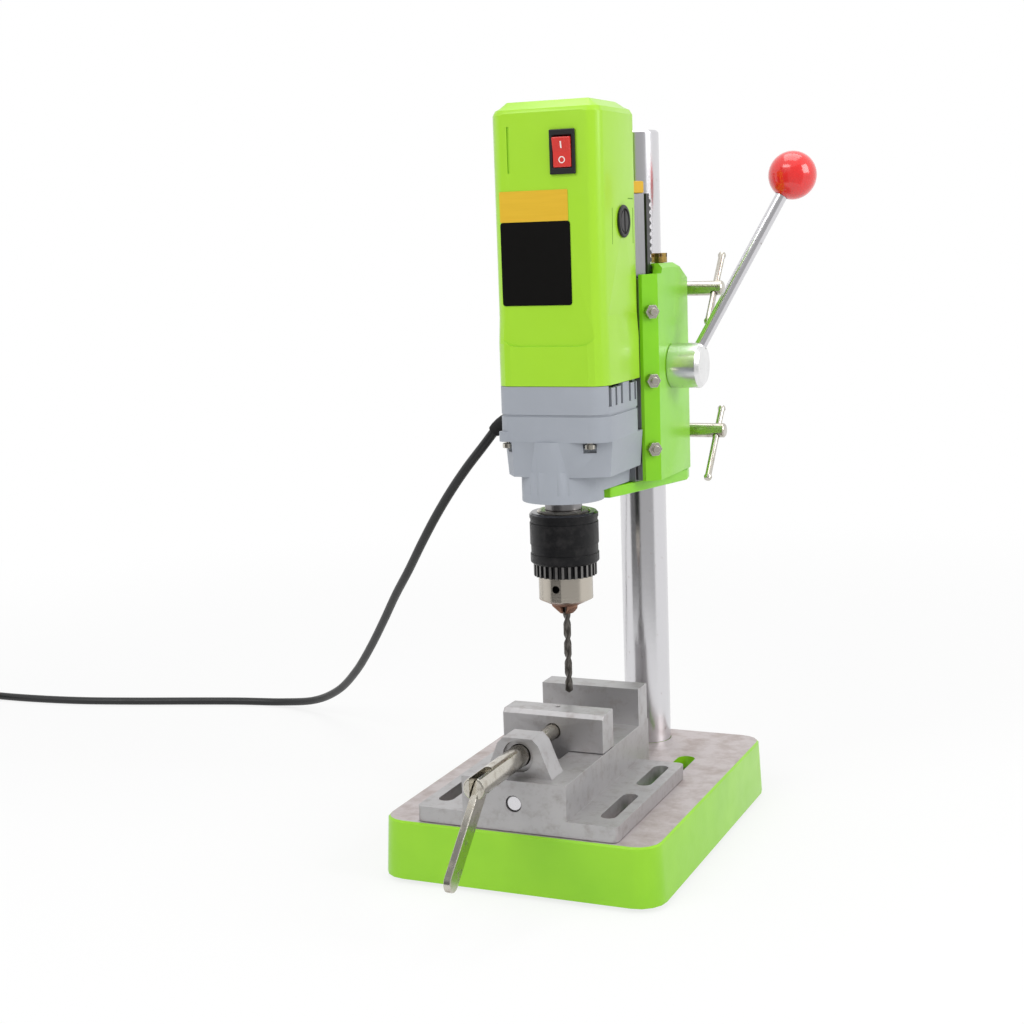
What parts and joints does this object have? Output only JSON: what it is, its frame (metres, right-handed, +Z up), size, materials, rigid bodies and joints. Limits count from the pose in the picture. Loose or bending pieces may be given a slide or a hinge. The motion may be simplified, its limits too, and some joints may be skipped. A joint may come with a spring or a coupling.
{
  "type": "benchtop drill press",
  "caption": "Small benchtop drill press: cast base with drill vise, round column, rack-fed motor head on a dovetail slide, keyed chuck and feed lever.",
  "frame": {"origin": "under the middle of the base casting, on the plane that the rubber feet stand on", "axes": "+Z up along the column and the drill spindle; -Y towards the operator, the front of the vise; +X towards the feed lever"},
  "size_m": [0.8464, 0.4294, 0.4783],
  "materials": {
    "lime_cast": "satin paint on cast iron",
    "lime_plastic": "glossy moulded cover",
    "grey_plastic": "fine matt moulding",
    "milled_alloy": "milled and ground",
    "polished_alloy": "turned and polished",
    "chrome": "hard chrome",
    "nickel": "nickel plate",
    "steel": "ground steel",
    "dark_steel": "dark oiled steel",
    "black_oxide": "black oxide, knurled",
    "brass": "turned brass",
    "bronze": "bronze bush",
    "winding": "steel core with enamelled copper wire",
    "rubber": "soft black rubber",
    "cord_vinyl": "smooth flexible sheath",
    "black_plastic": "moulded",
    "yellow_plastic": "moulded cap",
    "red_plastic": "polished moulding"
  },
  "bodies": {
    "stand": {"base_casting": "lime_cast", "foot_1": "rubber", "foot_2": "rubber", "foot_3": "rubber", "foot_4": "rubber", "column": "chrome", "column_bolt": "steel", "vise_body": "milled_alloy", "cord_lead": "cord_vinyl", "cord_coil": "cord_vinyl", "mains_plug": "cord_vinyl"},
    "vise_jaw": {"movable_jaw": "milled_alloy", "guide_rod": "chrome"},
    "vise_spindle": {"vise_screw": "nickel"},
    "vise_crank": {"vise_handle": "nickel"},
    "bush": {"column_bush": "bronze"},
    "carrier": {"slide_bracket": "lime_cast", "gib_strip": "steel", "gib_screw_1": "nickel", "gib_screw_2": "nickel", "gib_screw_3": "nickel", "oil_plug": "brass", "spring_cup": "black_plastic", "return_spring": "dark_steel"},
    "lower_clamp": {"clamp_screw_low": "nickel"},
    "lower_bar": {"clamp_bar_low": "nickel"},
    "upper_clamp": {"clamp_screw_high": "nickel"},
    "upper_bar": {"clamp_bar_high": "nickel"},
    "lever": {"pinion_shaft": "steel", "lever_hub": "polished_alloy", "lever_rod": "chrome", "lever_ball": "red_plastic"},
    "head": {"slide_bar": "steel", "feed_rack": "dark_steel", "rack_stop": "yellow_plastic", "head_shelf": "lime_cast", "gear_housing": "grey_plastic", "gear_plate": "milled_alloy", "motor_cover": "lime_plastic", "housing_screw_1": "nickel", "housing_screw_2": "nickel", "switch_bezel": "black_plastic", "brush_cap_right": "black_plastic", "brush_cap_left": "black_plastic", "stator": "dark_steel", "lower_bearing": "steel", "upper_bearing": "steel", "spindle_bearing": "steel", "strain_relief": "rubber"},
    "rocker": {"switch_rocker": "red_plastic"},
    "rotor": {"armature": "winding"},
    "drill_spindle": {"spindle": "steel", "chuck_body": "chrome", "drill_bit": "dark_steel"},
    "sleeve": {"chuck_sleeve": "black_oxide"},
    "jaw_a": {"chuck_jaw_1": "steel"},
    "jaw_b": {"chuck_jaw_2": "steel"},
    "jaw_c": {"chuck_jaw_3": "steel"}
  },
  "joints": [
    {"name": "height", "type": "slide", "parent": "stand", "child": "bush", "axis": [0, 0, 1], "range_m": [-0.03, 0.085]},
    {"name": "swivel", "type": "hinge", "parent": "bush", "child": "carrier", "pos_m": [0.0125, 0.096, 0.2343], "axis": [0, 0, 1], "range_deg": [-90, 90]},
    {"name": "feed", "type": "slide", "parent": "carrier", "child": "head", "axis": [0, 0, -1], "range_m": [0, 0.06], "deforming": ["cord_lead"]},
    {"name": "feed_lever", "type": "hinge", "parent": "carrier", "child": "lever", "pos_m": [0, 0.069, 0.3078], "axis": [1, 0, 0], "range_deg": [0, 191.5]},
    {"name": "drill_spin", "type": "hinge", "parent": "head", "child": "drill_spindle", "pos_m": [-0.004, -0.012, 0.2285], "axis": [0, 0, 1], "continuous": true},
    {"name": "motor_spin", "type": "hinge", "parent": "head", "child": "rotor", "pos_m": [-0.001, 0.00422, 0.2285], "axis": [0, 0, 1], "continuous": true},
    {"name": "chuck_turn", "type": "hinge", "parent": "drill_spindle", "child": "sleeve", "pos_m": [-0.004, -0.012, 0.2], "axis": [0, 0, 1], "range_deg": [0, 3190]},
    {"name": "jaw_a_slide", "type": "slide", "parent": "drill_spindle", "child": "jaw_a", "axis": [0, 0.225, 0.9744], "range_m": [0, 0.0177]},
    {"name": "jaw_b_slide", "type": "slide", "parent": "drill_spindle", "child": "jaw_b", "axis": [-0.1948, -0.1125, 0.9744], "range_m": [0, 0.0177]},
    {"name": "jaw_c_slide", "type": "slide", "parent": "drill_spindle", "child": "jaw_c", "axis": [0.1948, -0.1125, 0.9744], "range_m": [0, 0.0177]},
    {"name": "switch", "type": "hinge", "parent": "head", "child": "rocker", "pos_m": [0.0122, -0.0358, 0.4465], "axis": [1, 0, 0], "range_deg": [-14, 0]},
    {"name": "lower_clamp_turn", "type": "hinge", "parent": "carrier", "child": "lower_clamp", "pos_m": [0.058, 0.126, 0.2575], "axis": [1, 0, 0], "range_deg": [-180, 45]},
    {"name": "lower_bar_slide", "type": "slide", "parent": "lower_clamp", "child": "lower_bar", "axis": [0, 0.6293, 0.7771], "range_m": [-0.01, 0.03]},
    {"name": "upper_clamp_turn", "type": "hinge", "parent": "carrier", "child": "upper_clamp", "pos_m": [0.058, 0.126, 0.3565], "axis": [1, 0, 0], "range_deg": [-180, 45]},
    {"name": "upper_bar_slide", "type": "slide", "parent": "upper_clamp", "child": "upper_bar", "axis": [0, 0.6293, 0.7771], "range_m": [-0.02, 0.02]},
    {"name": "vise_slide", "type": "slide", "parent": "stand", "child": "vise_jaw", "axis": [0, 1, 0], "range_m": [-0.015, 0.046]},
    {"name": "vise_screw_turn", "type": "hinge", "parent": "vise_jaw", "child": "vise_spindle", "pos_m": [0, -0.173, 0.085], "axis": [0, 1, 0], "range_deg": [-1801, 5522]},
    {"name": "handle_fold", "type": "hinge", "parent": "vise_spindle", "child": "vise_crank", "pos_m": [0, -0.163, 0.082], "axis": [1, 0, 0], "range_deg": [-43, 15]}
  ],
  "couplings": [
    {"joint": "feed_lever", "follows": "feed", "rad_per_m": 55.556},
    {"joint": "motor_spin", "follows": "drill_spin", "ratio": -4.5},
    {"joint": "vise_screw_turn", "follows": "vise_slide", "rad_per_m": 2094.4},
    {"joint": "chuck_turn", "follows": "jaw_a_slide", "rad_per_m": 3141.6},
    {"joint": "jaw_b_slide", "follows": "jaw_a_slide", "ratio": 1},
    {"joint": "jaw_c_slide", "follows": "jaw_a_slide", "ratio": 1}
  ]
}
